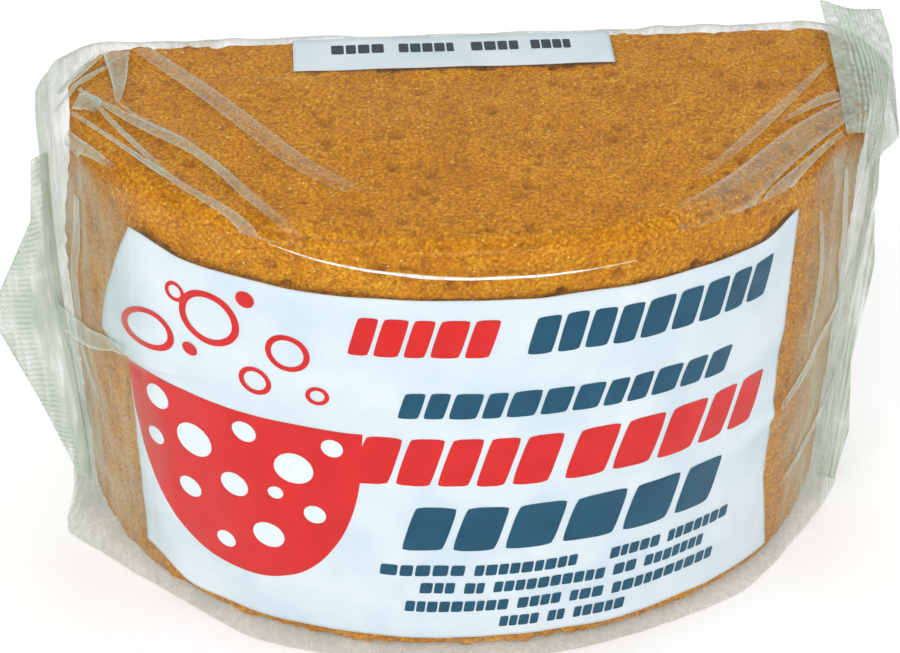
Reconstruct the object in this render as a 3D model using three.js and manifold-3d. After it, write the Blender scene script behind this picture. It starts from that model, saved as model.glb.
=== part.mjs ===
// A half-moon bath sponge in its shop wrapper: a block of polyester foam with a flat back and a bowed
// front, a printed paper sheet on the front, a paper strip folded over the back edge, and a bag of thin
// clear film with a crimped seal at each end. Millimetres. The origin is the middle of the flat underside;
// +X runs along the sponge, +Y towards its flat back, and +Z up.

import * as THREE from "three";
import { mergeVertices } from "three/addons/utils/BufferGeometryUtils.js";
import Module from "manifold-3d";

// Driving dimensions
const spongeLength = 165.1;
const spongeDepth = 69.85;
const spongeHeight = 107.95;
const frontPower = 2.1; // of the superellipse that bows the front; 2 is a plain ellipse
const cornerWidth = 12.6; // of the rounding where the back meets an end, along X
const cornerDepth = 14; // and along Y
const edgeRadius = 4; // of the top and bottom edges

const filmThickness = 0.5;
const paperThickness = 0.3;
const clearance = 0.3; // between any two pieces that touch
const filmEdgeRadius = 4;
const ventRadius = 2; // the air hole in the film's back
const ventPlace = { x: 52, z: 18 };

const frontPaper = { left: -69, right: 62, low: 6.2, high: 96.4 };
const backPaper = { left: -34.5, right: 30.5, onTop: 13, downBack: 50 };

const finThickness = 0.8; // two films welded together
const finPlace = { left: 12, right: 18 }; // where each end seal stands, along Y
const finRoot = 4; // how far a fin's root is let into the end of the bag

// Worked-out dimensions
const halfLength = spongeLength / 2;
const back = spongeDepth / 2;
// the angle where the front curve hands over to a back corner, and the curve's own half axis, chosen so
// that the sponge is spongeLength long there
const frontStart = Math.asin((cornerDepth / spongeDepth) ** (frontPower / 2));
const halfAxis = halfLength / Math.cos(frontStart) ** (2 / frontPower);
const spongeLow = filmThickness + clearance;
const spongeHigh = spongeLow + spongeHeight;
const paperInner = clearance;
const paperOuter = paperInner + paperThickness;
const filmInner = paperOuter + clearance;
const filmOuter = filmInner + filmThickness;

// Resolution
const frontSteps = 44;
const cornerSteps = 5;
const edgeSteps = 4;
const paperSteps = 40;

const wasm = await Module();
wasm.setup();

// The front's x and y at an angle: 0 is the left end, half a turn is the right end. The outward normal of
// the superellipse comes from the slope of |x/a|^n + |y/b|^n.
function frontPoint(angle, grow) {
  const across = -Math.cos(angle);
  const forward = Math.sin(angle);
  const x = Math.sign(across) * Math.abs(across) ** (2 / frontPower);
  const y = forward ** (2 / frontPower);
  const normal = new THREE.Vector2(
    (Math.sign(x) * Math.abs(x) ** (frontPower - 1)) / halfAxis,
    -(y ** (frontPower - 1)) / spongeDepth,
  ).normalize();
  return new THREE.Vector2(halfAxis * x, back - spongeDepth * y).addScaledVector(normal, grow);
}

// One rounded back corner: a quarter ellipse from the end of the front curve round to the flat back.
function cornerPoint(side, turn, grow) {
  const normal = new THREE.Vector2(
    (side * Math.cos(turn)) / cornerWidth,
    Math.sin(turn) / cornerDepth,
  ).normalize();
  return new THREE.Vector2(
    side * (halfLength - cornerWidth + cornerWidth * Math.cos(turn)),
    back - cornerDepth + cornerDepth * Math.sin(turn),
  ).addScaledVector(normal, grow);
}

// The sponge's plan, anticlockwise from above, moved outwards by grow.
function plan(grow) {
  const points = [];
  for (let i = 0; i <= frontSteps; i++) {
    const angle = frontStart + ((Math.PI - 2 * frontStart) * i) / frontSteps;
    points.push(frontPoint(angle, grow));
  }
  for (let i = 1; i <= cornerSteps; i++) {
    points.push(cornerPoint(1, ((Math.PI / 2) * i) / cornerSteps, grow));
  }
  for (let i = cornerSteps; i >= 1; i--) {
    points.push(cornerPoint(-1, ((Math.PI / 2) * i) / cornerSteps, grow));
  }
  return points;
}

// A solid through a stack of rings of equal length, closed by a fan at each end.
function ringStack(rings) {
  const count = rings[0].length;
  const positions = rings.flat().flatMap((p) => [p.x, p.y, p.z]);
  const triangles = [];
  for (let k = 0; k < rings.length - 1; k++) {
    for (let i = 0; i < count; i++) {
      const a = k * count + i;
      const b = k * count + ((i + 1) % count);
      triangles.push(a, b, b + count, a, b + count, a + count);
    }
  }
  for (const [ring, facing] of [[rings[0], -1], [rings.at(-1), 1]]) {
    const hub = positions.length / 3;
    const first = facing < 0 ? 0 : (rings.length - 1) * count;
    positions.push(0, 0, ring[0].z);
    for (let i = 0; i < count; i++) {
      const a = first + i;
      const b = first + ((i + 1) % count);
      triangles.push(...(facing < 0 ? [hub, b, a] : [hub, a, b]));
    }
  }
  const geometry = new THREE.BufferGeometry();
  geometry.setAttribute("position", new THREE.Float32BufferAttribute(positions, 3));
  geometry.setIndex(triangles);
  return geometry;
}

// The plan raised from low to high, with its two edges rounded. The turn runs from 0 on the flat end
// face to a quarter on the upright side.
function roundedBlock(grow, low, high, radius) {
  const turns = Array.from({ length: edgeSteps + 1 }, (_, i) => ((Math.PI / 2) * i) / edgeSteps);
  const ring = (turn, edge, inwards) =>
    plan(grow - radius * (1 - Math.sin(turn))).map(
      (p) => new THREE.Vector3(p.x, p.y, edge + inwards * radius * (1 - Math.cos(turn))),
    );
  return ringStack([
    ...turns.map((turn) => ring(turn, low, 1)),
    ...turns.toReversed().map((turn) => ring(turn, high, -1)),
  ]);
}

function toSolid(geometry) {
  const bare = geometry.index ? geometry.toNonIndexed() : geometry.clone();
  bare.deleteAttribute("normal");
  bare.deleteAttribute("uv");
  const merged = mergeVertices(bare, 1e-4);
  return new wasm.Manifold(
    new wasm.Mesh({
      numProp: 3,
      vertProperties: merged.attributes.position.array,
      triVerts: new Uint32Array(merged.index.array),
    }),
  );
}

function toGeometry(solid) {
  const mesh = solid.getMesh();
  const geometry = new THREE.BufferGeometry();
  geometry.setAttribute("position", new THREE.Float32BufferAttribute(mesh.vertProperties, 3));
  geometry.setIndex(Array.from(mesh.triVerts));
  geometry.computeVertexNormals();
  return geometry;
}

const alongX = new THREE.Vector3(1, 0, 0);
const alongY = new THREE.Vector3(0, 1, 0);
const alongZ = new THREE.Vector3(0, 0, 1);
const shapeInYZ = new THREE.Matrix4().makeBasis(alongY, alongZ, alongX); // extrudes along +X
const shapeInXZ = new THREE.Matrix4().makeBasis(alongX, alongZ, alongY.clone().negate()); // along -Y

// The sheet on the front follows the bowed face at a constant distance.
function frontPaperGeometry() {
  const angleAt = (x) => {
    const across = Math.sign(x) * Math.abs(x / halfAxis) ** (frontPower / 2);
    return Math.acos(-across);
  };
  const from = angleAt(frontPaper.left);
  const to = angleAt(frontPaper.right);
  const angles = Array.from({ length: paperSteps + 1 }, (_, i) => from + ((to - from) * i) / paperSteps);
  const outside = angles.map((a) => frontPoint(a, paperOuter));
  const inside = angles.map((a) => frontPoint(a, paperInner)).reverse();
  const geometry = new THREE.ExtrudeGeometry(new THREE.Shape([...outside, ...inside]), {
    depth: frontPaper.high - frontPaper.low,
    bevelEnabled: false,
  });
  return geometry.translate(0, 0, frontPaper.low);
}

// The strip lies on the top, bends round the back edge, and hangs down the flat back.
function backPaperGeometry() {
  const bend = { y: back - edgeRadius, z: spongeHigh - edgeRadius };
  const shape = new THREE.Shape();
  shape.moveTo(back - backPaper.onTop, spongeHigh + paperInner);
  shape.absarc(bend.y, bend.z, edgeRadius + paperInner, Math.PI / 2, 0, true);
  shape.lineTo(back + paperInner, spongeHigh - backPaper.downBack);
  shape.lineTo(back + paperOuter, spongeHigh - backPaper.downBack);
  shape.absarc(bend.y, bend.z, edgeRadius + paperOuter, 0, Math.PI / 2, false);
  shape.lineTo(back - backPaper.onTop, spongeHigh + paperOuter);
  const geometry = new THREE.ExtrudeGeometry(shape, {
    depth: backPaper.right - backPaper.left,
    bevelEnabled: false,
    curveSegments: 8,
  });
  return geometry.applyMatrix4(shapeInYZ).translate(backPaper.left, 0, 0);
}

// An end seal: a flat fin in the XZ plane whose root is let into the end of the bag.
function finSolid(corners, placeY) {
  const shape = new THREE.Shape(corners.map(([x, z]) => new THREE.Vector2(x, z)));
  const geometry = new THREE.ExtrudeGeometry(shape, { depth: finThickness, bevelEnabled: false });
  geometry.applyMatrix4(shapeInXZ).translate(0, placeY + finThickness / 2, 0);
  return toSolid(geometry);
}

// The bag is the outer block with its two fins, less the room inside and the air hole.
function bagGeometry() {
  const low = 0;
  const high = spongeHigh + filmOuter;
  const outer = toSolid(roundedBlock(filmOuter, low, high, filmEdgeRadius + filmThickness));
  const room = toSolid(
    roundedBlock(filmInner, low + filmThickness, high - filmThickness, filmEdgeRadius),
  );
  const end = halfLength + filmOuter;
  const root = end - finRoot;
  // the left seal reaches furthest at mid height
  const leftFin = finSolid(
    [[-root, 12], [-end - 2, 16], [-end - 14, 56], [-end - 12.5, 65], [-end - 3, 84], [-root, 98]],
    finPlace.left,
  );
  // the right seal stands up past the top in an ear, and narrows downwards
  const rightFin = finSolid(
    [
      [root, 18], [end + 2.5, 24], [end + 1.5, 44], [end + 4, 62], [end + 1.5, 84],
      [end + 6, 98], [end + 3.5, 119], [root - 6, 122], [root - 6, 104], [root, 98],
    ],
    finPlace.right,
  );
  const vent = toSolid(
    new THREE.CylinderGeometry(ventRadius, ventRadius, 4, 24).translate(ventPlace.x, back, ventPlace.z),
  );
  return toGeometry(outer.add(leftFin).add(rightFin).subtract(room).subtract(vent));
}

const foam = new THREE.MeshStandardMaterial({ color: 0xc98a2b, roughness: 0.95, metalness: 0 });
const paper = new THREE.MeshStandardMaterial({ color: 0xe6edf1, roughness: 0.7, metalness: 0 });
const stripPaper = new THREE.MeshStandardMaterial({ color: 0xdfe6e6, roughness: 0.7, metalness: 0 });
const film = new THREE.MeshStandardMaterial({
  color: 0xb2c3ba, roughness: 0.2, metalness: 0, transparent: true, opacity: 0.35,
});

function piece(name, geometry, material) {
  const mesh = new THREE.Mesh(geometry, material);
  mesh.name = name;
  return mesh;
}

const wrappedSponge = new THREE.Group();
wrappedSponge.add(
  piece("sponge", roundedBlock(0, spongeLow, spongeHigh, edgeRadius), foam),
  piece("front_paper", frontPaperGeometry(), paper),
  piece("back_paper", backPaperGeometry(), stripPaper),
  piece("film_bag", bagGeometry(), film),
);

export default wrappedSponge;
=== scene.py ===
# A wrapped half-moon bath sponge: foam block, printed paper, paper strip and clear film bag.
import math
import bpy
import numpy as np
from mathutils import Matrix, Vector


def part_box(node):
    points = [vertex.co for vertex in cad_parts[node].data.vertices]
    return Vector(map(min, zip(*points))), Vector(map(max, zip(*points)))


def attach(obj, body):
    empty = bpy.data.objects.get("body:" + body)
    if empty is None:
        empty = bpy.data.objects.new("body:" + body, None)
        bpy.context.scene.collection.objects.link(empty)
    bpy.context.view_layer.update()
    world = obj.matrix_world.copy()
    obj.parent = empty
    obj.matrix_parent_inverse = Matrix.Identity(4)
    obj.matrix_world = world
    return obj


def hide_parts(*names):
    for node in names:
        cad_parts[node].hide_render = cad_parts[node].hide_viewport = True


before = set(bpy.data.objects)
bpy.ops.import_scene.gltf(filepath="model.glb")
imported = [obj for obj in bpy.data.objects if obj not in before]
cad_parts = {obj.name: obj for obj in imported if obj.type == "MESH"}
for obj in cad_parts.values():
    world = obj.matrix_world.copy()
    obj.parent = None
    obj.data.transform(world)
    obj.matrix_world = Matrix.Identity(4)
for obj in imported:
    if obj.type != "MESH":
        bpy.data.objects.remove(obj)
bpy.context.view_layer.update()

mm = 0.001  # shapes below are worked out in millimetres and made in metres
scene = bpy.context.scene
scene.view_settings.view_transform = "Standard"
print("frame loaded")


# small helpers

# sRGB hex to linear RGBA, by the sRGB curve
def toLinear(hexColour):
    parts = np.array([int(hexColour[i:i + 2], 16) for i in (1, 3, 5)]) / 255
    low = parts <= 0.04045
    linear = np.where(low, parts / 12.92, ((parts + 0.055) / 1.055) ** 2.4)
    return (*linear.tolist(), 1.0)


# one node, its settings, and its sockets set to a value or joined to another socket
def addNode(tree, kind, inputs=None, **settings):
    made = tree.nodes.new(kind)
    for name, value in settings.items():
        setattr(made, name, value)
    for key, value in (inputs or {}).items():
        if isinstance(value, bpy.types.NodeSocket):
            tree.links.new(value, made.inputs[key])
        else:
            made.inputs[key].default_value = value
    return made


# a material with an empty tree, and the socket that gives each point's place in the object
def newMaterial(name):
    made = bpy.data.materials.new(name)
    made.use_nodes = True
    tree = made.node_tree
    tree.nodes.clear()
    return made, tree, addNode(tree, "ShaderNodeTexCoord").outputs["Object"]


def attribute(tree, name):
    return addNode(tree, "ShaderNodeAttribute", attribute_name=name).outputs["Fac"]


# noise with lumps of about that size in mm
def noise(tree, place, size, detail):
    inputs = {"Vector": place, "Scale": 1 / (size * mm), "Detail": detail}
    return addNode(tree, "ShaderNodeTexNoise", inputs).outputs[0]


# scattered cells of about that size in mm: the distance to the middle of each, and its own colour
def scatteredCells(tree, place, size):
    made = addNode(tree, "ShaderNodeTexVoronoi", {"Vector": place, "Scale": 1 / (size * mm)})
    return made.outputs["Distance"], made.outputs["Color"]


def calculate(tree, operation, *values, clamp=False):
    made = addNode(tree, "ShaderNodeMath", dict(enumerate(values)), operation=operation, use_clamp=clamp)
    return made.outputs[0]


# a value moved from one range to another, and held inside it
def moveRange(tree, value, low, high, newLow, newHigh):
    made = addNode(tree, "ShaderNodeMapRange", {"Value": value, 1: low, 2: high, 3: newLow, 4: newHigh})
    return made.outputs[0]


def mixColour(tree, share, first, second):
    made = addNode(tree, "ShaderNodeMixRGB", {"Fac": share, "Color1": first, "Color2": second})
    return made.outputs[0]


def mixShader(tree, share, first, second):
    return addNode(tree, "ShaderNodeMixShader", {0: share, 1: first, 2: second}).outputs[0]


# colours along a value from 0 to 1, as (place, hex)
def colourRamp(tree, value, stops):
    made = addNode(tree, "ShaderNodeValToRGB", {"Fac": value})
    elements = made.color_ramp.elements
    while len(elements) < len(stops):
        elements.new(0.5)
    for element, (place, colour) in zip(elements, stops):
        element.position = place
        element.color = toLinear(colour)
    return made.outputs[0]


# dents seen only in the shading, that many mm deep
def bump(tree, height, strength, deep):
    made = addNode(tree, "ShaderNodeBump", {"Height": height, "Strength": strength, "Distance": deep * mm})
    return made.outputs[0]


def setSurface(tree, shader):
    addNode(tree, "ShaderNodeOutputMaterial", {"Surface": shader})


def principled(tree, colour, roughness, **others):
    inputs = {"Base Color": colour, "Roughness": roughness}
    inputs.update({key.replace("_", " "): value for key, value in others.items()})
    return addNode(tree, "ShaderNodeBsdfPrincipled", inputs).outputs[0]


# points in mm and faces as one index array; each attribute has a value for each point
def makeMesh(name, points, faces, material, smooth=True, **attributes):
    mesh = bpy.data.meshes.new(name)
    sides = faces.shape[1]
    mesh.vertices.add(len(points))
    mesh.vertices.foreach_set("co", (points * mm).astype(np.float32).ravel())
    mesh.loops.add(faces.size)
    mesh.loops.foreach_set("vertex_index", faces.astype(np.int32).ravel())
    mesh.polygons.add(len(faces))
    mesh.polygons.foreach_set("loop_start", np.arange(0, faces.size, sides, dtype=np.int32))
    mesh.polygons.foreach_set("use_smooth", np.full(len(faces), smooth))
    mesh.update(calc_edges=True)
    for key, values in attributes.items():
        layer = mesh.attributes.new(key, "FLOAT", "POINT")
        layer.data.foreach_set("value", values.astype(np.float32))
    mesh.validate()
    made = bpy.data.objects.new(name, mesh)
    scene.collection.objects.link(made)
    made.data.materials.append(material)
    return made


def smoothStep(low, high, x):
    t = np.clip((x - low) / (high - low), 0, 1)
    return t * t * (3 - 2 * t)


# a repeatable number from 0 to 1 for each whole-number cell, by multiply and shift
def hashed(cells, seed):
    c = cells.astype(np.int64).astype(np.uint32)
    h = c[..., 0] * np.uint32(374761393) + c[..., 1] * np.uint32(668265263)
    h = h + c[..., 2] * np.uint32(2147483647) + np.uint32(seed * 7919 + 13)
    h = (h ^ (h >> np.uint32(13))) * np.uint32(1274126177)
    h = (h ^ (h >> np.uint32(16))) * np.uint32(2246822519)
    return ((h ^ (h >> np.uint32(15))) & np.uint32(0xFFFFFF)) / float(0xFFFFFF)


# smooth noise from -1 to 1: hashed corners of a lattice of that size in mm, blended inside each cell
def softNoise(points, size, seed):
    p = points / size
    base = np.floor(p)
    t = p - base
    t = t * t * (3 - 2 * t)
    total = 0
    for corner in np.ndindex(2, 2, 2):
        c = np.array(corner)
        weight = np.prod(np.where(c == 1, t, 1 - t), axis=-1)
        total = total + weight * hashed(base + c, seed)
    return total * 2 - 1


# distance in mm to the nearest of the scattered points, one in each lattice cell, and its own number
def cellNoise(points, size, seed):
    base = np.floor(points / size)
    best = np.full(len(points), 1e9)
    own = np.zeros(len(points))
    for corner in np.ndindex(3, 3, 3):
        cell = base + np.array(corner) - 1
        spot = np.stack([hashed(cell, seed + k) for k in (0, 1, 2)], -1)
        away = np.linalg.norm((cell + spot) * size - points, axis=-1)
        near = away < best
        best = np.where(near, away, best)
        own = np.where(near, hashed(cell, seed + 3), own)
    return best, own


# distance of each 2-D point to a line through the corners
def lineDistance(points, corners):
    corners = np.array(corners, float)
    best = np.full(len(points), np.inf)
    for start, step in zip(corners[:-1], np.diff(corners, axis=0)):
        t = np.clip(((points - start) @ step) / (step @ step), 0, 1)
        best = np.minimum(best, np.linalg.norm(points - start - t[:, None] * step, axis=1))
    return best


# camera, light and floor

cameraPlan = dict(place=(-30.2, -330.1, 339.2), azimuth=-4.57, elevation=40.09, roll=0.75, fieldOfView=24.0)


# looks back along its own Z, which points from the sponge to the camera at that azimuth and elevation
def makeCamera():
    azimuth, elevation, roll = (math.radians(cameraPlan[k]) for k in ("azimuth", "elevation", "roll"))
    backwards = Vector((
        math.sin(azimuth) * math.cos(elevation),
        -math.cos(azimuth) * math.cos(elevation),
        math.sin(elevation),
    ))
    level = (-backwards).cross(Vector((0, 0, 1))).normalized()
    upright = level.cross(-backwards)
    right = math.cos(roll) * level + math.sin(roll) * upright
    upwards = -math.sin(roll) * level + math.cos(roll) * upright
    data = bpy.data.cameras.new("camera")
    data.sensor_width = 36
    data.lens = 18 / math.tan(math.radians(cameraPlan["fieldOfView"] / 2))
    data.clip_start = 0.01
    camera = bpy.data.objects.new("camera", data)
    turn = Matrix((right, upwards, backwards)).transposed().to_4x4()
    camera.matrix_world = Matrix.Translation(Vector(cameraPlan["place"]) * mm) @ turn
    scene.collection.objects.link(camera)
    scene.camera = camera


# area lights, with places and sizes in metres and powers in watts
studioLights = dict(
    keyLight=dict(place=(-0.45, -0.75, 0.95), aim=(0, 0, 0.06), size=(0.6, 0.6), power=3.6),
    topLight=dict(place=(0.15, 0.25, 1.0), aim=(0, 0, 0.1), size=(0.7, 0.5), power=1.0),
    streakLight=dict(place=(0.05, -1.0, 0.12), aim=(0, 0, 0.1), size=(0.5, 0.06), power=1.6),
)
studioLook = dict(skyStrength=0.8, floorGlow=0.12, floorHalf=3000)


def makeLight(name, place, aim, size, power):
    data = bpy.data.lights.new(name, "AREA")
    data.shape = "RECTANGLE"
    data.size, data.size_y = size
    data.energy = power
    light = bpy.data.objects.new(name, data)
    light.location = place
    light.rotation_euler = (Vector(aim) - Vector(place)).to_track_quat("-Z", "Y").to_euler()
    scene.collection.objects.link(light)


def makeStudio():
    world = bpy.data.worlds.new("studio")
    world.use_nodes = True
    sky = world.node_tree.nodes["Background"]
    sky.inputs["Color"].default_value = (1, 1, 1, 1)
    sky.inputs["Strength"].default_value = studioLook["skyStrength"]
    scene.world = world
    for name, plan in studioLights.items():
        makeLight(name, **plan)
    material, tree, _ = newMaterial("paintedStudioFloor")
    setSurface(tree, principled(tree, toLinear("#fbfbfb"), 0.8, Emission_Color=toLinear("#ffffff"),
                                Emission_Strength=studioLook["floorGlow"]))
    half = studioLook["floorHalf"]
    corners = np.array([[-half, -half, 0], [half, -half, 0], [half, half, 0], [-half, half, 0]], float)
    floor = makeMesh("floor", corners, np.array([[0, 1, 2, 3]]), material, smooth=False)


makeCamera()
makeStudio()
print("camera and studio made")


# the half-moon plan, shared by every piece

spongeLow, spongeHigh = (np.array(corner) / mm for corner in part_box("sponge"))
halfLength = (spongeHigh[0] - spongeLow[0]) / 2
backY = spongeHigh[1]
depth = spongeHigh[1] - spongeLow[1]
planShape = dict(power=2.1, cornerWidth=12.6, cornerDepth=14.0)
frontPoints, cornerPoints, backPoints = 900, 119, 199  # on each half of the plan's line
cornerEnd = frontPoints + cornerPoints


# The plan as a fine closed line: the front is a superellipse |x/a|^n + |y/b|^n = 1, each back corner
# a quarter ellipse, the back straight. Gives the distance run from the front's middle, the line as x and y,
# and its normal.
def makePlan():
    n, width, deep = (planShape[k] for k in ("power", "cornerWidth", "cornerDepth"))
    start = math.asin((deep / depth) ** (n / 2))
    axis = halfLength / math.cos(start) ** (2 / n)
    angle = np.linspace(math.pi / 2, math.pi - start, frontPoints)
    across, forward = np.clip(-np.cos(angle), 0, 1), np.sin(angle)
    x, y = across ** (2 / n), forward ** (2 / n)
    slope = np.stack([x ** (n - 1) / axis, -(y ** (n - 1)) / depth], 1)
    front = np.stack([axis * x, backY - depth * y], 1)
    turn = np.linspace(0, math.pi / 2, cornerPoints + 1)[1:]
    corner = np.stack([
        halfLength - width + width * np.cos(turn),
        backY - deep + deep * np.sin(turn),
    ], 1)
    cornerSlope = np.stack([np.cos(turn) / width, np.sin(turn) / deep], 1)
    flat = np.stack([np.linspace(corner[-1, 0], 0, backPoints + 1)[1:], np.full(backPoints, backY)], 1)
    half = np.concatenate([front, corner, flat])
    normal = np.concatenate([slope, cornerSlope, np.tile([0.0, 1.0], (backPoints, 1))])
    mirror = np.array([-1, 1])
    line = np.concatenate([half, (half * mirror)[::-1][1:]])
    normal = np.concatenate([normal, (normal * mirror)[::-1][1:]])
    normal /= np.linalg.norm(normal, axis=1)[:, None]
    run = np.concatenate([[0], np.cumsum(np.linalg.norm(np.diff(line, axis=0), axis=1))])
    return run, line, normal


planRun, planLine, planNormal = makePlan()
perimeter = planRun[-1]


# x, y and normal at a distance s round the plan, positive to the right of the front's middle; the normal
# is the mean over 10 mm of the line, so that a rounded edge doesn't fold where front and corner meet
def planAt(s):
    s = np.asarray(s, float)
    place = np.stack([np.interp(np.mod(s, perimeter), planRun, planLine[:, k]) for k in (0, 1)], -1)
    normal = 0
    for step in np.linspace(-5, 5, 9):
        near = np.mod(s + step, perimeter)
        normal = normal + np.stack([np.interp(near, planRun, planNormal[:, k]) for k in (0, 1)], -1)
    return place, normal / np.linalg.norm(normal, axis=-1, keepdims=True)


# the same distance counted from the front's middle, negative to the left
def signedRun(s):
    s = np.mod(s, perimeter)
    return np.where(s > perimeter / 2, s - perimeter, s)


# Faces of a closed block: a top grid, rings of points down the side that share the top grid's rim, and
# a bottom grid. Gives the faces and the rim of a grid as an index list, anticlockwise from front left.
def blockTopology(across, deep, rings):
    index = np.arange((across + 1) * (deep + 1)).reshape(deep + 1, across + 1)
    rim = np.concatenate([index[0, :-1], index[:-1, -1], index[-1, :0:-1], index[:0:-1, 0]])
    count, gridSize = len(rim), index.size
    cells = np.stack([index[:-1, :-1], index[:-1, 1:], index[1:, 1:], index[1:, :-1]], -1).reshape(-1, 4)
    bottomStart = gridSize + rings * count
    loops = [rim] + [gridSize + k * count + np.arange(count) for k in range(rings)] + [bottomStart + rim]
    faces = [cells, cells[:, ::-1] + bottomStart]
    for upper, lower in zip(loops[:-1], loops[1:]):
        faces.append(np.stack([lower, np.roll(lower, -1), np.roll(upper, -1), upper], -1))
    return np.concatenate(faces), rim


# distance round the plan of each rim point: even steps between the two front and the two back corners
def rimStations(across, deep, frontCorner):
    corner = slice(frontPoints, cornerEnd)
    backCorner = np.interp(halfLength - 0.3 * planShape["cornerWidth"], planLine[corner, 0][::-1],
                           planRun[corner][::-1])
    front = np.linspace(-frontCorner, frontCorner, across + 1)[:-1]
    right = np.linspace(frontCorner, backCorner, deep + 1)[:-1]
    back = np.linspace(backCorner, perimeter - backCorner, across + 1)[:-1]
    left = np.linspace(perimeter - backCorner, perimeter - frontCorner, deep + 1)[:-1]
    return np.concatenate([front, right, back, left])


# fills a four-sided rim: the two blends between opposite sides, less the blend of the corners
def coonsGrid(rimPoints, across, deep):
    front = rimPoints[:across + 1]
    right = rimPoints[across:across + deep + 1]
    back = rimPoints[across + deep:2 * across + deep + 1][::-1]
    left = np.concatenate([rimPoints[2 * across + deep:], rimPoints[:1]])[::-1]
    u = np.linspace(0, 1, across + 1)[None, :, None]
    v = np.linspace(0, 1, deep + 1)[:, None, None]
    sides = (1 - v) * front[None] + v * back[None] + (1 - u) * left[:, None] + u * right[:, None]
    corners = (1 - u) * (1 - v) * front[0] + u * (1 - v) * front[-1]
    corners = corners + (1 - u) * v * back[0] + u * v * back[-1]
    return (sides - corners).reshape(-1, rimPoints.shape[1])


# A block on the plan with rounded edges, its wall moved out by outward(s, z) mm where that is given. It gives
# each point's place, outward normal, distance s round the plan and if it is on the wall, and the faces.
def blockShell(look, low, high, outward=None):
    across, deep, wallSteps = look["across"], look["deep"], look["wallSteps"]
    topRadius, footRadius = look["topRadius"], look["footRadius"]
    turn = np.linspace(0, math.pi / 2, look["edgeSteps"] + 1)
    turnBack = turn[::-1]
    heights = np.linspace(high - topRadius, low + footRadius, wallSteps + 1)[1:-1]
    topEdge = np.stack([topRadius * (1 - np.sin(turn)), high - topRadius * (1 - np.cos(turn))], 1)
    wall = np.stack([np.zeros(len(heights)), heights], 1)
    lowEdge = np.stack([footRadius * (1 - np.sin(turnBack)), low + footRadius * (1 - np.cos(turnBack))], 1)
    profile = np.concatenate([topEdge, wall, lowEdge])
    lean = np.concatenate([np.cos(turn), np.zeros(len(heights)), -np.cos(turnBack)])  # normal's share of Z
    faces, rim = blockTopology(across, deep, len(profile) - 2)
    stations = rimStations(across, deep, look["frontCorner"])
    place, normal = planAt(stations)
    grown = 0 if outward is None else outward(stations[None], profile[:, 1, None])[..., None]
    spots = place[None] + (grown - profile[:, 0, None, None]) * normal[None]
    rings = np.concatenate([spots, np.broadcast_to(profile[:, 1, None, None], (*spots.shape[:2], 1))], -1)
    flatShare = np.sqrt(1 - lean ** 2)[:, None, None]
    normals = np.concatenate([
        flatShare * normal[None],
        np.broadcast_to(lean[:, None, None], (*spots.shape[:2], 1)),
    ], -1)
    grids = [coonsGrid(rings[k], across, deep) for k in (0, -1)]
    gridCount = len(grids[0])
    points = np.concatenate([grids[0], rings[1:-1].reshape(-1, 3), grids[1]])
    facing = np.concatenate([
        np.tile([0.0, 0.0, 1.0], (gridCount, 1)),
        normals[1:-1].reshape(-1, 3),
        np.tile([0.0, 0.0, -1.0], (gridCount, 1)),
    ])
    signed = signedRun(stations)
    gridStation = np.zeros(gridCount)
    gridStation[rim] = signed
    station = np.concatenate([gridStation, np.tile(signed, len(profile) - 2), gridStation])
    onWall = np.zeros(len(points), bool)
    onWall[gridCount:-gridCount] = True
    return points, facing, station, onWall, faces


# foam block

foamLook = dict(
    across=200, deep=78, frontCorner=62.0, edgeSteps=7, wallSteps=124, topRadius=2.6, footRadius=2.6,
    pitSpacing=4.6, pitDepth=1.3, smallPitSpacing=2.3, smallPitDepth=0.6,
    roughness=0.22, ragged=2.2,  # the edges are cut that many times rougher still
    proudest=0.2,  # how far the roughness may stand out of the cut face
    pinch=4.5, pinchHeight=45,  # how far the wrapper has drawn in the top of the left end, and from how low
    cellSize=0.65, glintSpacing=1.9,  # the cells are a little coarser than real ones, so that they show
)


# open-cell polyester foam, cut with a hot wire: matt and pitted, with painted shade in the hollows and pits
# and painted highlights where cell walls catch the light
def foamMaterial():
    material, tree, place = newMaterial("openCellPolyesterFoam")
    patches = noise(tree, place, 9, 3.0)
    grains = noise(tree, place, 0.7, 2.0)
    share = calculate(tree, "MULTIPLY_ADD", grains, 0.75, 0.0)
    share = calculate(tree, "MULTIPLY_ADD", patches, 0.25, share)
    tones = [(0.35, "#ac6a14"), (0.45, "#c88212"), (0.54, "#d79110"), (0.65, "#e9ae2c")]
    colour = colourRamp(tree, share, tones)
    # painted shade: the hollows between the cell walls are darker, and the pits darker still
    distance, _ = scatteredCells(tree, place, foamLook["cellSize"])
    colour = mixColour(tree, moveRange(tree, distance, 0.3, 0.8, 0.0, 0.5), colour, toLinear("#96541a"))
    colour = mixColour(tree, attribute(tree, "pit"), colour, toLinear("#8a4e1a"))
    # painted highlights: a few cell walls shine, painted pale at the middles of about half of the scattered
    # points
    middle, own = scatteredCells(tree, place, foamLook["glintSpacing"])
    chosen = addNode(tree, "ShaderNodeSeparateColor", {"Color": own}).outputs[0]
    chosen = calculate(tree, "GREATER_THAN", chosen, 0.55)
    paintedGlint = calculate(tree, "MULTIPLY", moveRange(tree, middle, 0.05, 0.13, 1.0, 0.0), chosen)
    colour = mixColour(tree, paintedGlint, colour, toLinear("#f6dc9a"))
    height = calculate(tree, "MULTIPLY_ADD", distance, -0.5, grains)
    shader = principled(tree, colour, 0.85, Normal=bump(tree, height, 0.9, 0.5), Specular_IOR_Level=0.12)
    setSurface(tree, shader)
    return material


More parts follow.
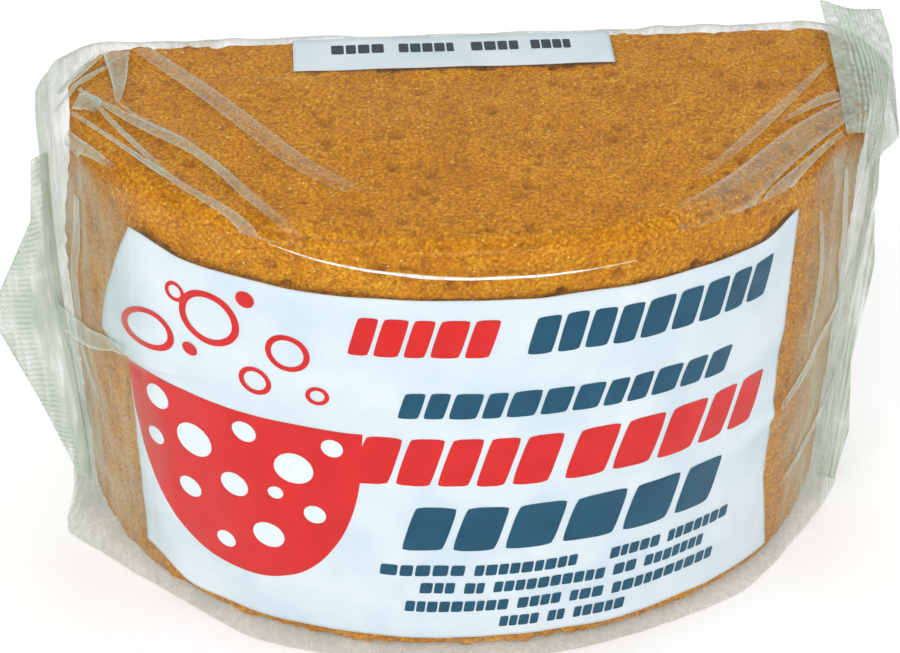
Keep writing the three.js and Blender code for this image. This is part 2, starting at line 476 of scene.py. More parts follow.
# The block's points are pushed inwards by two sizes of scattered round pits and a fine roughness, and the
# top of the left end is drawn in where the wrapper pulls it.
def makeFoam():
    look = foamLook
    points, facing, _, _, faces = blockShell(look, spongeLow[2], spongeHigh[2])
    big, bigOwn = cellNoise(points, look["pitSpacing"], 11)
    small, smallOwn = cellNoise(points, look["smallPitSpacing"], 23)
    bigRadius = 0.6 + 1.3 * bigOwn ** 2  # in mm, so that most of the big pits are small ones
    smallRadius = 0.45 + 0.6 * smallOwn
    bigPit = 1 - smoothStep(0.35, 1.0, big / bigRadius)
    smallPit = 1 - smoothStep(0.4, 1.0, small / smallRadius)
    ragged = 1 + look["ragged"] * np.clip(1 - np.abs(np.abs(facing[:, 2]) - 0.6) / 0.4, 0, 1)
    crumbs = softNoise(points, 2.6, 31) + 0.8 * softNoise(points, 1.4, 37) + 0.8 * softNoise(points, 6.0, 41)
    rough = np.minimum(look["roughness"] * ragged * (crumbs - 1.2), look["proudest"])
    inwards = look["pitDepth"] * bigPit * (0.4 + 0.6 * bigOwn) + look["smallPitDepth"] * smallPit - rough
    points = points - facing * inwards[:, None]
    high = smoothStep(spongeHigh[2] - look["pinchHeight"], spongeHigh[2], points[:, 2])
    left = smoothStep(0.72 * halfLength, halfLength, -points[:, 0])
    points[:, 0] += look["pinch"] * high * left
    # painted shade in the pits: the share by which the foam's colour is darkened there
    pit = np.clip(0.55 * bigPit * (0.3 + 0.7 * bigOwn) + 0.4 * smallPit, 0, 1)
    foam = makeMesh("foamBlock", points, faces, foamMaterial(), pit=pit)
    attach(foam, "root")
    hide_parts("sponge")
    print("foam block made,", len(points), "points")


makeFoam()


# papers and their print

paperLook = dict(
    left=-76.0, right=66.0, low=5.8, high=96.2, gap=0.45, thickness=0.12, across=190, up=120,
    leftRun=26, rightRun=14,  # how much of each end is out of shape
    curl=1.5, pinch=1.1, dent=0.9, slack=0.3,
    rightRise=3.6, leftRise=2.0, lowLeftRise=5.0,  # how far the corners are drawn up
)


# coated label paper: white with a cold cast, faintly mottled, and a soft shine
def paperMaterial():
    material, tree, place = newMaterial("coatedLabelPaper")
    colour = colourRamp(tree, noise(tree, place, 14, 4.0), [(0.3, "#c8d9e3"), (0.7, "#dde7ed")])
    fibre = bump(tree, noise(tree, place, 0.5, 2.0), 0.15, 0.05)
    setSurface(tree, principled(tree, colour, 0.5, Normal=fibre))
    return material


# offset ink on coated paper: even and flat, with the paper's faint mottle in it
def inkMaterial(name, dark, light):
    material, tree, place = newMaterial(name)
    colour = colourRamp(tree, noise(tree, place, 5, 5.0), [(0.35, dark), (0.65, light)])
    setSurface(tree, principled(tree, colour, 0.5, Specular_IOR_Level=0.15))
    return material


# How far the front paper's free edges stray from a plain rectangle, in mm, by height q on the paper
edgeStray = dict(
    height=[6, 12, 28, 62, 64.5, 66, 68, 72, 80, 88, 96],
    left=[0, 0, 0, 0.5, 1, -2.5, -5.2, -4.2, -2, 1.5, 5.5],
    right=[4, 3, 0, -1, -1, -0.8, -0.6, -0.5, -0.6, -1, -1.5],
)


# how far a point is into the sheet's left end and its right end, from 0 to 1 at the free edge
def paperEnds(p):
    left = smoothStep(paperLook["left"] + paperLook["leftRun"], paperLook["left"], p)
    return left, smoothStep(paperLook["right"] - paperLook["rightRun"], paperLook["right"], p)


# the sheet's lift off the foam: its left end's top corner curls away above a pinch, and the right end is
# dented at mid height
def paperLift(p, q):
    look = paperLook
    leftEnd, rightEnd = paperEnds(p)
    pinchLine = 65 + 0.28 * (p - look["left"])
    curl = leftEnd ** 2 * smoothStep(pinchLine - 1.5, pinchLine + 3, q) * smoothStep(104, 74, q)
    pinch = leftEnd * np.exp(-((q - pinchLine) / 1.6) ** 2)
    dentLine = 47 - 0.5 * (look["right"] - p)
    dent = rightEnd * np.exp(-((q - dentLine) / 2.2) ** 2)
    flat = np.stack([p, q, np.zeros_like(p)], -1)
    waves = 0.3 * softNoise(flat * (1, 0.35, 1), 9, 5) + 0.12 * softNoise(flat, 5, 6)
    shaped = look["curl"] * curl + look["pinch"] * pinch + look["dent"] * dent
    return np.maximum(look["gap"] + look["slack"] + waves + shaped, look["gap"])


# a point (p, q) of the flat sheet goes to distance s round the plan and height z, at its lift off the foam
def paperSurface(p, q, raised=0.0):
    look = paperLook
    leftEnd, rightEnd = paperEnds(p)
    s = p + leftEnd ** 1.5 * np.interp(q, edgeStray["height"], edgeStray["left"])
    s = s + rightEnd * np.interp(q, edgeStray["height"], edgeStray["right"])
    top = smoothStep(80, 96, q)
    z = q + look["rightRise"] * rightEnd ** 2 * top + look["leftRise"] * leftEnd ** 2 * top
    z = z + look["lowLeftRise"] * smoothStep(look["left"] + 14, look["left"], p) * smoothStep(16, 6, q)
    place, normal = planAt(s)
    place = place + (paperLift(p, q) + raised)[..., None] * normal
    return np.concatenate([place, z[..., None]], -1)


def gridFaces(across, up):
    index = np.arange((across + 1) * (up + 1)).reshape(up + 1, across + 1)
    return np.stack([index[:-1, :-1], index[:-1, 1:], index[1:, 1:], index[1:, :-1]], -1).reshape(-1, 4)


def thicken(piece, thickness):
    wall = piece.modifiers.new("wall", "SOLIDIFY")
    wall.thickness = thickness * mm
    wall.offset = -1


def makeFrontPaper(paper):
    look = paperLook
    across, up = look["across"], look["up"]
    p, q = np.meshgrid(np.linspace(look["left"], look["right"], across + 1),
                       np.linspace(look["low"], look["high"], up + 1))
    points = paperSurface(p.ravel(), q.ravel())
    sheet = makeMesh("frontPaper", points, gridFaces(across, up), paper)
    thicken(sheet, look["thickness"])
    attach(sheet, "root")
    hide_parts("front_paper")


# one flat mark per row of blocks, as centre p, centre q, half width, half height and slant; each is a small
# grid whose corners are rounded by shrinking x with the fourth power of y and the other way about
def markPoints(blocks, steps, rounding):
    u, v = np.meshgrid(np.linspace(-1, 1, steps + 1), np.linspace(-1, 1, steps + 1))
    u, v = u.ravel(), v.ravel()
    x = u * (1 - rounding * v ** 4)
    y = v * (1 - rounding * u ** 4)
    blocks = np.array(blocks)[:, :, None]
    p = blocks[:, 0] + blocks[:, 2] * x + blocks[:, 3] * y * blocks[:, 4]
    q = blocks[:, 1] + blocks[:, 3] * y
    faces = gridFaces(steps, steps)
    faces = (faces[None] + (np.arange(len(blocks)) * len(u))[:, None, None]).reshape(-1, 4)
    return p.ravel(), q.ravel(), faces


# discs and rings as centre p, centre q, outer radius, inner radius
def ringPoints(rings, around, steps):
    angle = np.linspace(0, 2 * math.pi, around + 1)
    share = np.linspace(0, 1, steps + 1)
    a, t = np.meshgrid(angle, share)
    a, t = a.ravel(), t.ravel()
    rings = np.array(rings)[:, :, None]
    radius = rings[:, 3] + (rings[:, 2] - rings[:, 3]) * t
    p = rings[:, 0] + radius * np.cos(a)
    q = rings[:, 1] + radius * np.sin(a)
    faces = gridFaces(around, steps)[:, ::-1]
    faces = (faces[None] + (np.arange(len(rings)) * len(a))[:, None, None]).reshape(-1, 4)
    return p.ravel(), q.ravel(), faces


# a run of letter-sized blank blocks with narrow gaps, in place of a word
def wordBlocks(start, end, low, high, count, slant, draw):
    widths = draw.uniform(0.8, 1.2, count)
    gap = 0.16 * (end - start) / count
    widths *= (end - start - gap * (count - 1)) / widths.sum()
    left = start + np.concatenate([[0], np.cumsum(widths[:-1] + gap)])
    middle, half = (low + high) / 2, (high - low) / 2
    return [(l + w / 2, middle, w / 2, half, slant) for l, w in zip(left, widths)]


# the red half moon: a flat top and a rounded belly, so q hangs from the top by a half superellipse of p
def moonPoints(middle, top, halfWidth, drop, across=90, down=48, power=2.3):
    p, t = np.meshgrid(np.linspace(-1, 1, across + 1), np.linspace(0, 1, down + 1))
    p, t = p.ravel(), t.ravel()
    belly = (1 - np.abs(p) ** power) ** (1 / power)
    return middle + halfWidth * p, top - drop * belly * (1 - t), gridFaces(across, down)


# large words as start, end, low, high, number of blocks and slant
blueWords = [
    (8.5, 58.5, 82.8, 91.8, 9, 0.2),
    (-15.6, 50.0, 67.4, 73.8, 12, 0.25),
    (-14.4, 50.5, 31.8, 43.8, 6, 0.25),
]
redWords = [
    (-24.5, 1.8, 82.6, 91.6, 5, 0.25),
    (-24.0, 14.5, 49.6, 62.2, 5, 0.25),
    (17.5, 60.0, 49.6, 62.2, 5, 0.25),
]
# lines of small words, as the height of their middle, and the start, end and number of blocks of each word
smallLines = [
    (26.0, [(-20, -3, 5), (-1, 20, 9), (27, 38, 5), (40, 55, 7)]),
    (20.8, [(-12, -5, 3), (-3, 1, 2), (3, 26, 10), (28, 33, 2), (35, 49, 7)]),
    (15.4, [(-15, 6, 9), (8, 17, 4), (19, 26, 3), (28, 52, 10)]),
    (10.2, [(4.4, 12.5, 4), (14.5, 18, 2), (20, 31, 5)]),
]
smallHalfHeight, smallSlant = 1.55, 0.12
moonLook = dict(middle=-49.5, top=62.5, halfWidth=26.5, drop=45.0)
# red bubbles and the half moon's pores, as centre, outer radius and inner radius
bubbles = [
    (-66, 75, 5.2, 3.9), (-53, 84, 6.5, 5.0), (-44, 71.5, 3.4, 2.3), (-37, 80.5, 4.4, 3.2),
    (-60.5, 87.5, 2.4, 1.5), (-31.5, 71, 2.3, 1.4), (-45, 91.2, 1.9, 0.0), (-57.5, 74.5, 1.6, 0.0),
]
pores = [
    (-68, 57, 3.0, 0), (-59, 50, 4.2, 0), (-47, 57.5, 2.6, 0), (-50, 42, 3.1, 0), (-37, 50.5, 4.0, 0),
    (-61, 36, 2.7, 0), (-43, 30.5, 3.4, 0), (-33, 39, 2.3, 0), (-53, 25, 2.2, 0), (-69.5, 45.5, 2.2, 0),
    (-29, 58, 2.2, 0), (-41, 43, 1.6, 0),
]


def makePrint():
    draw = np.random.default_rng(6)
    blue = [block for word in blueWords for block in wordBlocks(*word, draw)]
    for middle, words in smallLines:
        low, high = middle - smallHalfHeight, middle + smallHalfHeight
        for start, end, count in words:
            blue += wordBlocks(start, end, low, high, count, smallSlant, draw)
    red = [block for word in redWords for block in wordBlocks(*word, draw)]
    redInk = inkMaterial("redOffsetInk", "#cb1216", "#d61a1b")
    blueInk = inkMaterial("blueOffsetInk", "#004561", "#024f6b")
    whiteInk = inkMaterial("unprintedPaper", "#dbe8ef", "#e3edf3")
    inkLift, poreLift = 0.08, 0.14  # how far a layer stands off the paper
    layers = [
        ("printBlueWords", markPoints(blue, 10, 0.07), blueInk, inkLift),
        ("printRedWords", markPoints(red, 12, 0.07), redInk, inkLift),
        ("printRedMoon", moonPoints(**moonLook), redInk, inkLift),
        ("printRedBubbles", ringPoints(bubbles, 40, 3), redInk, inkLift),
        ("printWhitePores", ringPoints(pores, 32, 4), whiteInk, poreLift),
    ]
    for name, (p, q, faces), material, lift in layers:
        ink = makeMesh(name, paperSurface(p, q, lift), faces, material)
        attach(ink, "root")


stripLook = dict(
    left=-33.6, right=30.2, onTop=13.0, downBack=50.0, gap=0.35, bend=2.6, thickness=0.12,
    across=70, along=110,
)
# words on the top as start, end and number of blocks, and a row of ticks down on the back
stripWords = [(-26, -15.5, 4), (-12.5, -1.5, 5), (2, 11.5, 4), (14, 22, 4)]
stripTicks = dict(start=-14, end=15, pitch=1.4, middle=34.0, halfHeight=7.0)


# The strip's section runs forward on the top, round a quarter circle over the back edge and down the back:
# t is the distance along it from its front edge.
def stripSurface(x, t, raised=0.0):
    look = stripLook
    lift = look["gap"] + raised
    radius = look["bend"] + lift
    flatTop = look["onTop"] - look["bend"]
    arc = radius * math.pi / 2
    angle = np.clip((t - flatTop) / radius, 0, math.pi / 2)
    down = np.clip(t - flatTop - arc, 0, None)
    y = backY - look["bend"] - np.clip(flatTop - t, 0, None) + radius * np.sin(angle)
    z = spongeHigh[2] - look["bend"] + radius * np.cos(angle) - down
    waves = 0.12 * softNoise(np.stack([x, t, np.zeros_like(x)], -1), 8, 3)
    return np.stack([x, y + waves * np.sin(angle), z + waves * np.cos(angle)], -1)


def makeBackStrip(paper):
    look = stripLook
    across, along = look["across"], look["along"]
    x, t = np.meshgrid(np.linspace(look["left"], look["right"], across + 1),
                       np.linspace(0, look["onTop"] + look["downBack"], along + 1))
    strip = makeMesh("backStrip", stripSurface(x.ravel(), t.ravel()), gridFaces(across, along), paper)
    thicken(strip, look["thickness"])
    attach(strip, "root")
    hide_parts("back_paper")
    draw = np.random.default_rng(9)
    marks = []
    for start, end, count in stripWords:
        marks += wordBlocks(start, end, 5.6, 8.8, count, 0.0, draw)
    row = stripTicks
    for k, tick in enumerate(np.arange(row["start"], row["end"], row["pitch"])):
        marks.append((tick, row["middle"], 0.3 + 0.18 * (k % 3), row["halfHeight"], 0.0))
    p, t, faces = markPoints(marks, 4, 0.04)
    ink = makeMesh("printStripMarks", stripSurface(p, t, 0.05), faces,
                   inkMaterial("blackOffsetInk", "#26303a", "#303b45"))
    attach(ink, "root")


paper = paperMaterial()
makeFrontPaper(paper)
makePrint()
makeBackStrip(paper)
print("papers and print made")


# clear film bag: the wrap, the folds lying on it, and its pressed seals

filmLook = dict(
    across=200, deep=88, frontCorner=62.0, edgeSteps=7, wallSteps=86, topRadius=3.4, footRadius=0.5,
    underside=0.05, gap=0.9, onTop=0.75,  # off the table, off the wall and over the top
    slack=0.5, footHeight=15,  # slow waves, and how high the spread foot reaches
    ridge=0.5, ridgeWidth=1.6,  # the sharp rise of the wrap along each fold
)

# how far the wrap stands off the wall in mm: at each end by height, and at its foot on the table by the
# distance s round the plan
looseness = dict(
    leftHeight=[0, 4, 10, 20, 45, 62, 85, 100, 109],
    left=[4.0, 3.5, 2.5, 1.2, 2.2, 3.4, 2.2, 1.5, 0.6],
    rightHeight=[0, 3, 12, 30, 60, 85, 100, 109],
    right=[3.5, 3.2, 2.2, 1.2, 1.6, 2.6, 2.2, 1.0],
    footRun=[-140, -125, -112, -105, -100, -96, -92, -88, -84, -80, -75, -70, -65, -60, -55, -50, -42, -30,
             0, 40, 50, 60, 70, 80, 90, 100, 108, 118, 130],
    foot=[1.2, 2.0, 3.9, 5.8, 8.9, 10.0, 8.0, 6.3, 4.8, 3.7, 2.8, 2.2, 2.0, 2.2, 2.7, 3.5, 3.5, 2.8,
          2.4, 2.2, 3.0, 4.0, 3.4, 3.1, 4.2, 6.4, 5.0, 3.0, 1.5],
)

# folds on the top as (x, y, width) down the middle of each, with how opaque it is
topFolds = [
    ([(-75.5, 16.4, 0.5), (-66, 5.4, 2.2), (-59, 1, 2.6), (-48, -10, 1.6), (-41, -22.7, 2.5),
      (-31.5, -33, 1)], 0.26),
    ([(-77.3, 9.7, 0.8), (-66, -3.2, 0.7), (-56.3, -14.8, 1.4), (-46.8, -23.2, 1.6),
      (-34.5, -34.8, 0.5)], 0.36),
    ([(-75.5, 16.4, 0.5), (-66, 1.0, 1.0), (-56.3, -14.4, 1.3)], 0.36),
    ([(-68.6, 30, 5.4), (-67.4, 19, 2.8), (-67.2, 9.1, 0.4)], 0.36),
    ([(-75.6, 11.8, 4.5), (-72.5, 11, 5), (-70.8, 7.3, 0.6)], 0.42),
    ([(-79, 14.5, 1.2), (-75, 22.5, 2), (-70.5, 30.5, 1.4)], 0.4),
    ([(-65, 32, 3), (-52, 16, 3.6), (-31, -13, 4), (-22, -20, 2.5)], 0.1),
    ([(75.2, 4.1, 4), (63.5, -5.3, 6.6), (46.8, -22.5, 7), (33, -31.5, 4)], 0.12),
    ([(72.6, 18.7, 0.8), (54.4, -3.8, 2.5), (40.4, -19, 1.5)], 0.12),
    ([(-77.5, 3.5, 2.2), (-71.5, -4.5, 1.6), (-66.5, -9.5, 0.4)], 0.3),
    ([(-79.2, 8.5, 0.5), (-74, 20, 1.3), (-66, 27.5, 0.5)], 0.35),
    ([(-67.4, 10.5, 0.4), (-60.5, 2.5, 1.1), (-52, -4, 0.3)], 0.25),
    ([(72.5, 7, 3.2), (66, 3.5, 2.0), (58, -3, 0.4)], 0.2),
    ([(71, -4.5, 0.6), (60, -16, 1.3), (45, -29, 0.6)], 0.2),
]

# folds on the wall as (s, z, width)
wallFolds = [
    ([(-96, 62, 7), (-84, 64, 5), (-76, 66.5, 2.5), (-66, 68.5, 0.8)], 0.22),
    ([(66, 47, 1.0), (74, 54, 3), (84, 66, 2), (90, 76, 0.8)], 0.18),
    ([(70, 22, 0.8), (80, 30, 2.4), (92, 42, 1.0)], 0.15),
    ([(78, 104, 1.2), (80, 84, 2.4), (86, 62, 2.0), (88, 46, 0.6)], 0.16),
    ([(70, 98, 0.6), (74, 78, 1.6), (73, 60, 0.6)], 0.14),
    ([(-84, 100, 1.5), (-88, 80, 2.5), (-87, 58, 1.5), (-84, 34, 0.5)], 0.16),
]


# cast polypropylene film: clear where it lies flat, with a milky cast where it is loose or doubled, drawn
# into fine upright streaks, and a sharp shine
def filmMaterial():
    material, tree, place = newMaterial("castPolypropyleneFilm")
    narrow, tall = 1 / (1.4 * mm), 1 / (16 * mm)  # the streaks are 1.4 mm wide and 16 mm high
    drawn = addNode(tree, "ShaderNodeVectorMath", {0: place, 1: (narrow, narrow, tall)}, operation="MULTIPLY")
    drawn = {"Vector": drawn.outputs[0], "Scale": 1.0, "Detail": 3.0}
    streaks = addNode(tree, "ShaderNodeTexNoise", drawn).outputs[0]
    uneven = calculate(tree, "ADD", streaks, noise(tree, place, 12, 3.0))
    uneven = moveRange(tree, uneven, 0.75, 1.25, 0.4, 1.6)
    milky = calculate(tree, "MULTIPLY", attribute(tree, "haze"), uneven)
    # facing, not Fresnel, since a ray meets half of the film from its inner side
    facing = addNode(tree, "ShaderNodeLayerWeight", {"Blend": 0.5}).outputs["Facing"]
    edgeOn = calculate(tree, "POWER", facing, 4.0)
    milky = calculate(tree, "MULTIPLY_ADD", edgeOn, 0.6, milky, clamp=True)
    # pale turns the milky cast near white: it carries painted highlights on the wrap's foot, the fold edges
    # and the bead, and the paler pressed seals and vent
    tint = mixColour(tree, attribute(tree, "pale"), toLinear("#a6b8a3"), toLinear("#f2f6f2"))
    clear = addNode(tree, "ShaderNodeBsdfTransparent").outputs[0]
    shine = addNode(tree, "ShaderNodeBsdfAnisotropic", {"Roughness": 0.13}).outputs[0]
    smooth = mixShader(tree, calculate(tree, "MULTIPLY_ADD", edgeOn, 0.4, 0.01), clear, shine)
    setSurface(tree, mixShader(tree, milky, smooth, principled(tree, tint, 0.35)))
    return material


# How far the wrap stands off the wall at (s, z): the looseness of the ends, upright folds of two sizes
# where it is loose, the foot spread on the table, and never less than the paper under it.
def filmOut(s, z):
    s, z = np.broadcast_arrays(signedRun(s), z)
    place, _ = planAt(s)
    spots = np.concatenate([place, z[..., None]], -1)
    farBack = 1 - 0.7 * smoothStep(118, 135, np.abs(s))
    left = smoothStep(-58, -92, s) * farBack
    right = smoothStep(58, 90, s) * farBack
    foot = np.clip(1 - z / filmLook["footHeight"], 0, 1) ** 2
    loose = np.clip(0.12 + left + right + 0.5 * smoothStep(120, 140, np.abs(s)), 0, 1)
    folds = 0.6 * softNoise(spots * (1, 1, 0.14), 5.0, 51) + 0.3 * softNoise(spots * (1, 1, 0.25), 2.4, 52)
    slack = filmLook["slack"] * softNoise(spots + spots[..., [2, 0, 1]] * 0.6, 13.0, 53)
    out = filmLook["gap"] + left * np.interp(z, looseness["leftHeight"], looseness["left"])
    out = out + right * np.interp(z, looseness["rightHeight"], looseness["right"])
    resting = np.interp(s, looseness["footRun"], looseness["foot"])
    out = (out + (folds + slack) * loose) * (1 - foot) + (resting + 0.3 * folds) * foot
    under = np.max([
        paperLift(np.clip(s + step, paperLook["left"], paperLook["right"]), z) for step in (-6, -2, 2, 6)
    ], axis=0)
    covered = smoothStep(paperLook["left"] - 9, paperLook["left"] - 4, s) * smoothStep(103, 100, z)
    covered = covered * smoothStep(paperLook["right"] + 9, paperLook["right"] + 4, s)
    return np.maximum(out, np.maximum(0.6, covered * (under + 0.35)))


# height of the wrap over the top at (x, y): slow waves, and a sharp ridge along each fold
def filmTop(flat):
    spots = np.concatenate([flat, np.zeros((len(flat), 1))], 1)
    height = filmLook["onTop"] + 0.25 * softNoise(spots, 17, 61) * (flat[:, 1] < backY - 16)
    for middle, _ in topFolds:
        away = lineDistance(flat, [corner[:2] for corner in middle])
        height = height + filmLook["ridge"] * np.exp(-away / filmLook["ridgeWidth"])
    return spongeHigh[2] + height


# shares of milkiness, each added where its name says; backLess is taken away again along the flat back
hazeLook = dict(
    wallClear=0.01, wallLeft=0.20, wallRight=0.22, ends=0.12, backLess=0.18, foot=0.16,
    topClear=0.004, topFront=0.36, topBack=0.3, topEnds=0.3, underside=0.3,
)
# lines in x and y across the top's two front corners: the film is milky in front of them
milkyCorners = [
    [(-90, 8), (-75.8, 0.3), (-69.6, -9.6), (-66.5, -17.5), (-62.6, -23.8), (-58, -25.5), (-57.8, -34.3)],
    [(37.5, -37), (49.5, -30.3), (58.8, -20.2), (70.6, -5.4), (90, 6)],
]


# how milky the wrap is: clear over the paper and the middle of the top, milky at the ends, foot and corners
def wrapHaze(points, station, onWall):
    look = hazeLook
    x, y, z = points.T
    fromFront = np.abs(station)
    wall = look["wallClear"] + look["wallLeft"] * smoothStep(-64, -78, station)
    wall = wall + look["wallRight"] * smoothStep(63, 78, station)
    wall = wall + look["ends"] * smoothStep(86, 104, fromFront)
    wall = wall - look["backLess"] * smoothStep(116, 140, fromFront)
    wall = wall + look["foot"] * smoothStep(8, 1, z)
    top = np.full(len(points), look["topClear"])
    for corners in milkyCorners:
        lineX, lineY = np.array(corners).T
        edge = np.interp(x, lineX, lineY, left=-99, right=-99)
        top = top + look["topFront"] * smoothStep(0.6, -2.2, y - edge) * (np.abs(x) > 37)
    top = top + look["topBack"] * smoothStep(backY - 4, backY, y)
    top = top + look["topEnds"] * smoothStep(halfLength - 6, halfLength - 2, np.abs(x))
    share = np.where(onWall, smoothStep(spongeHigh[2] - 10, spongeHigh[2], z), 1)
    return np.clip(np.where(z < 0.1, look["underside"], wall * (1 - share) + top * share), 0, 1)


# Lines down both sides of a fold, from its middle and width, each cut into even steps: the across axis runs
# from one side to the other.
def foldGrid(middle, along, across):
    middle = np.array(middle, float)
    run = np.concatenate([[0], np.cumsum(np.linalg.norm(np.diff(middle[:, :2], axis=0), axis=1))])
    at = np.linspace(0, run[-1], along + 1)
    path = np.stack([np.interp(at, run, middle[:, k]) for k in range(3)], 1)
    ease = min(12, along // 6)  # steps either side over which the corners are eased
    path = np.concatenate([path[:1].repeat(ease, 0), path, path[-1:].repeat(ease, 0)])
    window = np.ones(2 * ease + 1) / (2 * ease + 1)
    path = np.stack([np.convolve(path[:, k], window, "valid") for k in range(3)], 1)
    line, width = path[:, :2], path[:, 2]
    step = np.gradient(line, axis=0)
    step /= np.linalg.norm(step, axis=1)[:, None]
    side = np.stack([-step[:, 1], step[:, 0]], 1)
    t = np.linspace(-1, 1, across + 1)
    grid = line[None] + (t[:, None] * width[None] / 2)[..., None] * side[None]
    return grid.reshape(-1, 2), np.repeat(t, along + 1)


def finishFilm(piece):
    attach(piece, "root")


def makeWrap(film):
    look = filmLook
    top = spongeHigh[2] + look["onTop"]
    points, _, station, onWall, faces = blockShell(look, look["underside"], top, filmOut)
    upper = smoothStep(spongeHigh[2] - 3, top, points[:, 2])
    points[:, 2] += upper * (filmTop(points[:, :2]) - spongeHigh[2] - look["onTop"])
    haze = wrapHaze(points, station, onWall)
    # painted highlight: the spread foot is drawn paler towards the table, as a whitish sheen
    pale = 0.6 * smoothStep(12, 2, points[:, 2])
    wrap = makeMesh("filmWrap", points, faces, film, haze=haze, pale=pale)
    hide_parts("film_bag")
    finishFilm(wrap)


# Keeps a top fold on the wrap where its edge is rounded: the distance inside the wall's outline gives how
# far the quarter circle has dropped there, and a point beyond the outline is drawn back to it.
def followEdge(flat):
    radius = filmLook["topRadius"]
    away = np.linalg.norm(flat[:, None] - planLine[None, ::4], axis=2)
    s = planRun[::4][away.argmin(1)]
    place, normal = planAt(s)
    inside = filmOut(s, np.full(len(s), spongeHigh[2] - radius)) - ((flat - place) * normal).sum(1)
    flat = flat - np.clip(-inside, 0, None)[:, None] * normal
    return flat, radius - np.sqrt(radius ** 2 - np.clip(radius - inside, 0, radius) ** 2)


foldLook = dict(along=90, across=8, lift=0.22, thickness=0.06)


# folds of doubled film: narrow strips a little above the wrap, their last part faded; both edges are milkier
# and paler, as painted highlight lines
def makeFolds(film):
    look = foldLook
    along, across = look["along"], look["across"]
    fade = np.tile(smoothStep(1.0, 0.55, np.linspace(0, 1, along + 1)), across + 1)
    points, faces, haze, pale = [], [], [], []
    total = 0
    for onTop, folds in ((True, topFolds), (False, wallFolds)):
        for middle, opacity in folds:
            flat, t = foldGrid(middle, along, across)
            lift = look["lift"] * (1 + 0.8 * np.abs(t) ** 3)
            if onTop:
                flat, drop = followEdge(flat)
                spots = np.concatenate([flat, (filmTop(flat) - drop + lift)[:, None]], 1)
            else:
                place, normal = planAt(flat[:, 0])
                out = filmOut(flat[:, 0], flat[:, 1]) + lift
                spots = np.concatenate([place + out[:, None] * normal, flat[:, 1:]], 1)
            points.append(spots)
            faces.append(gridFaces(along, across) + total)
            total += len(spots)
            # painted highlight lines: milkier and paler towards both edges of each fold
            haze.append(opacity * fade * (0.8 + 1.1 * np.abs(t) ** 8))
            pale.append(0.15 + 0.45 * np.abs(t) ** 6)
    folds = makeMesh("filmFolds", np.concatenate(points), np.concatenate(faces), film,
                     haze=np.concatenate(haze), pale=np.concatenate(pale))
    thicken(folds, look["thickness"])
    finishFilm(folds)


# the bead's line on the front as x and height, and its half width as x and width
beadLook = dict(
    x=[-38.5, -30, -21, -12, -3, 9, 19, 27],
    height=[106.2, 104.3, 103.2, 102.4, 101.9, 101.8, 101.9, 102.3],
    widthX=[-38.5, -30, -13, -1, 11, 27],
    width=[0.05, 0.2, 0.4, 0.36, 0.22, 0.06],
    along=240, around=10, lift=0.35,
)


# the taut fold under the front's top edge: a thin rounded bead, its ends tapered, coloured near white as a
# painted highlight of the light it catches
def makeBead(film):
    look = beadLook
    run, around = look["along"], look["around"]
    x = np.linspace(look["x"][0], look["x"][-1], run + 1)
    s = np.sign(x) * np.interp(np.abs(x), planLine[:frontPoints, 0], planRun[:frontPoints])
    z = np.interp(x, look["x"], look["height"])
    place, normal = planAt(s)
    width = np.interp(x, look["widthX"], look["width"])
    width = width * (1 + 0.25 * softNoise(np.stack([x, z, 0 * x], 1), 3, 71))
    angle = np.linspace(0, 2 * math.pi, around + 1)
    out = filmOut(s, z)[None] + look["lift"] + width * np.cos(angle)[:, None] * 0.7
    points = np.concatenate([
        place[None] + out[..., None] * normal[None],
        (z + width * np.sin(angle)[:, None])[..., None],
    ], -1).reshape(-1, 3)
    count = len(points)
    # painted highlight: the bead is milky and fully pale, so it shows near white
    bead = makeMesh("filmBeadPaintedHighlight", points, gridFaces(run, around), film, haze=np.full(count, 0.85),
                    pale=np.full(count, 1.0))
    finishFilm(bead)


# Three pressed seals. Each is ruled between an inner and an outer line. Its bars are pitch mm apart, run
# along the strip when lengthwise, and begin at a share start of its width. arch bows its middle in mm.
sealLook = dict(
    filmLeftSeal=dict(
        inner=[(-82, 12, 99), (-82.6, 11, 84), (-82.6, 10, 65), (-82.2, 10, 45), (-81.6, 10, 25),
               (-81.6, 10, 12)],
        outer=[(-85.2, 10.5, 98), (-86.8, 9.5, 84), (-95.6, 9.5, 65.3), (-96.8, 10, 56.3),
               (-90.3, 10.5, 35), (-84.4, 10.5, 13)],
        along=420, across=16, pitch=1.5, lengthwise=False, start=0.45, opacity=0.6, arch=0.0,
    ),
    filmRightCollar=dict(
        inner=[(73.2, 34, 114.4), (73, 18.7, 111), (72, 7.4, 110.4), (70.9, -5.5, 109.3)],
        outer=[(86.1, 34, 111.9), (87.4, 27, 107.4), (85, 6, 99.8), (77.3, 0, 96.2)],
        along=60, across=120, pitch=0.95, lengthwise=True, start=0.1, opacity=0.52, arch=4.5,
    ),
    filmRightSeal=dict(
        inner=[(79.5, 4, 97), (80, 4, 84), (80, 4, 62), (80, 4, 44), (80, 4, 24), (80, 4, 9)],
        outer=[(80.2, 3, 97), (81.6, 3, 84), (83.6, 3, 70), (82.8, 3, 56), (82.2, 3, 44), (84.4, 3, 24),
               (83, 3, 9)],
        along=160, across=44, pitch=1.1, lengthwise=True, start=0.3, opacity=0.5, arch=0.0,
    ),
)
sealBarHeight, sealThickness = 0.12, 0.12


# a line through the corners, cut into even steps
def evenLine(corners, steps):
    corners = np.array(corners, float)
    run = np.concatenate([[0], np.cumsum(np.linalg.norm(np.diff(corners, axis=0), axis=1))])
    at = np.linspace(0, run[-1], steps + 1)
    return np.stack([np.interp(at, run, corners[:, k]) for k in range(3)], 1)


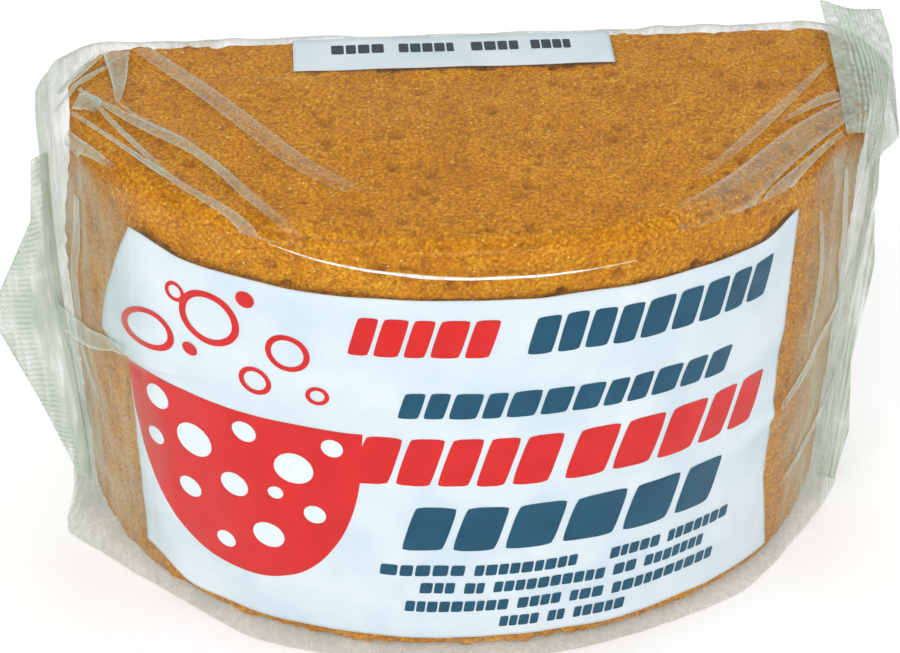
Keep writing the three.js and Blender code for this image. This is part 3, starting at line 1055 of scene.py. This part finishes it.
# A seal's points are the ruled strip, bowed upwards and to the right more towards its second end, then
# moved along its own normal by the bars' sine and by loose waves that fade at both edges.
def makeSeal(name, film):
    look = sealLook[name]
    along, across = look["along"], look["across"]
    inner, outer = evenLine(look["inner"], along), evenLine(look["outer"], along)
    t = np.linspace(0, 1, across + 1)[:, None]
    points = (1 - t[..., None]) * inner[None] + t[..., None] * outer[None]
    bow = look["arch"] * np.sin(math.pi * t) * np.linspace(0, 1, along + 1)[None] ** 0.5
    points = points + bow[..., None] * np.array([0.64, 0, 0.77])
    if look["lengthwise"]:
        run = t * np.linalg.norm(outer - inner, axis=1)[None]
    else:
        length = np.linalg.norm(np.diff((inner + outer) / 2, axis=0), axis=1).sum()
        run = np.broadcast_to(np.linspace(0, length, along + 1)[None], points.shape[:2])
    cross = np.cross(np.gradient(points, axis=1), outer[None] - inner[None])
    normal = cross / np.maximum(np.linalg.norm(cross, axis=-1, keepdims=True), 1e-9)
    bars = np.sin(2 * math.pi * run / look["pitch"]) * smoothStep(look["start"], look["start"] + 0.12, t)
    waves = 0.9 * softNoise(points * (1, 1, 0.4), 9, 81) + 0.35 * softNoise(points, 3.5, 82)
    waves = waves * np.sin(math.pi * np.clip(t, 0.02, 1) ** 0.7)
    points = points + normal * (sealBarHeight * bars + waves)[..., None]
    haze = look["opacity"] * (0.85 + 0.15 * bars)
    pale = 0.2 + 0.2 * bars
    seal = makeMesh(name, points.reshape(-1, 3), gridFaces(along, across), film, haze=haze.ravel(),
                    pale=pale.ravel())
    thicken(seal, sealThickness)
    finishFilm(seal)


ventLook = dict(x=52.0, z=18.0, radius=2.0, ringRadius=0.25, lift=0.15, around=48, steps=8)


# the small vent near the foot of the back: a pressed ring standing on the wrap
def makeVent(film):
    look = ventLook
    around, steps = look["around"], look["steps"]
    a, t = np.meshgrid(np.linspace(0, 2 * math.pi, around + 1), np.linspace(0, 2 * math.pi, steps + 1))
    a, t = a.ravel(), t.ravel()
    radius = look["radius"] + look["ringRadius"] * np.cos(t)
    x = look["x"] + radius * np.cos(a)
    z = look["z"] + radius * np.sin(a)
    back = slice(cornerEnd - 1, cornerEnd + backPoints)
    s = np.interp(-x, -planLine[back, 0], planRun[back])
    out = filmOut(s, z) + look["lift"] + look["ringRadius"] * np.sin(t)
    points = np.stack([x, backY + out, z], 1)
    vent = makeMesh("filmVent", points, gridFaces(around, steps), film, haze=np.full(len(x), 0.7),
                    pale=np.full(len(x), 0.6))
    finishFilm(vent)


film = filmMaterial()
makeWrap(film)
makeFolds(film)
makeBead(film)
makeVent(film)
for name in sealLook:
    makeSeal(name, film)
print("film bag made")
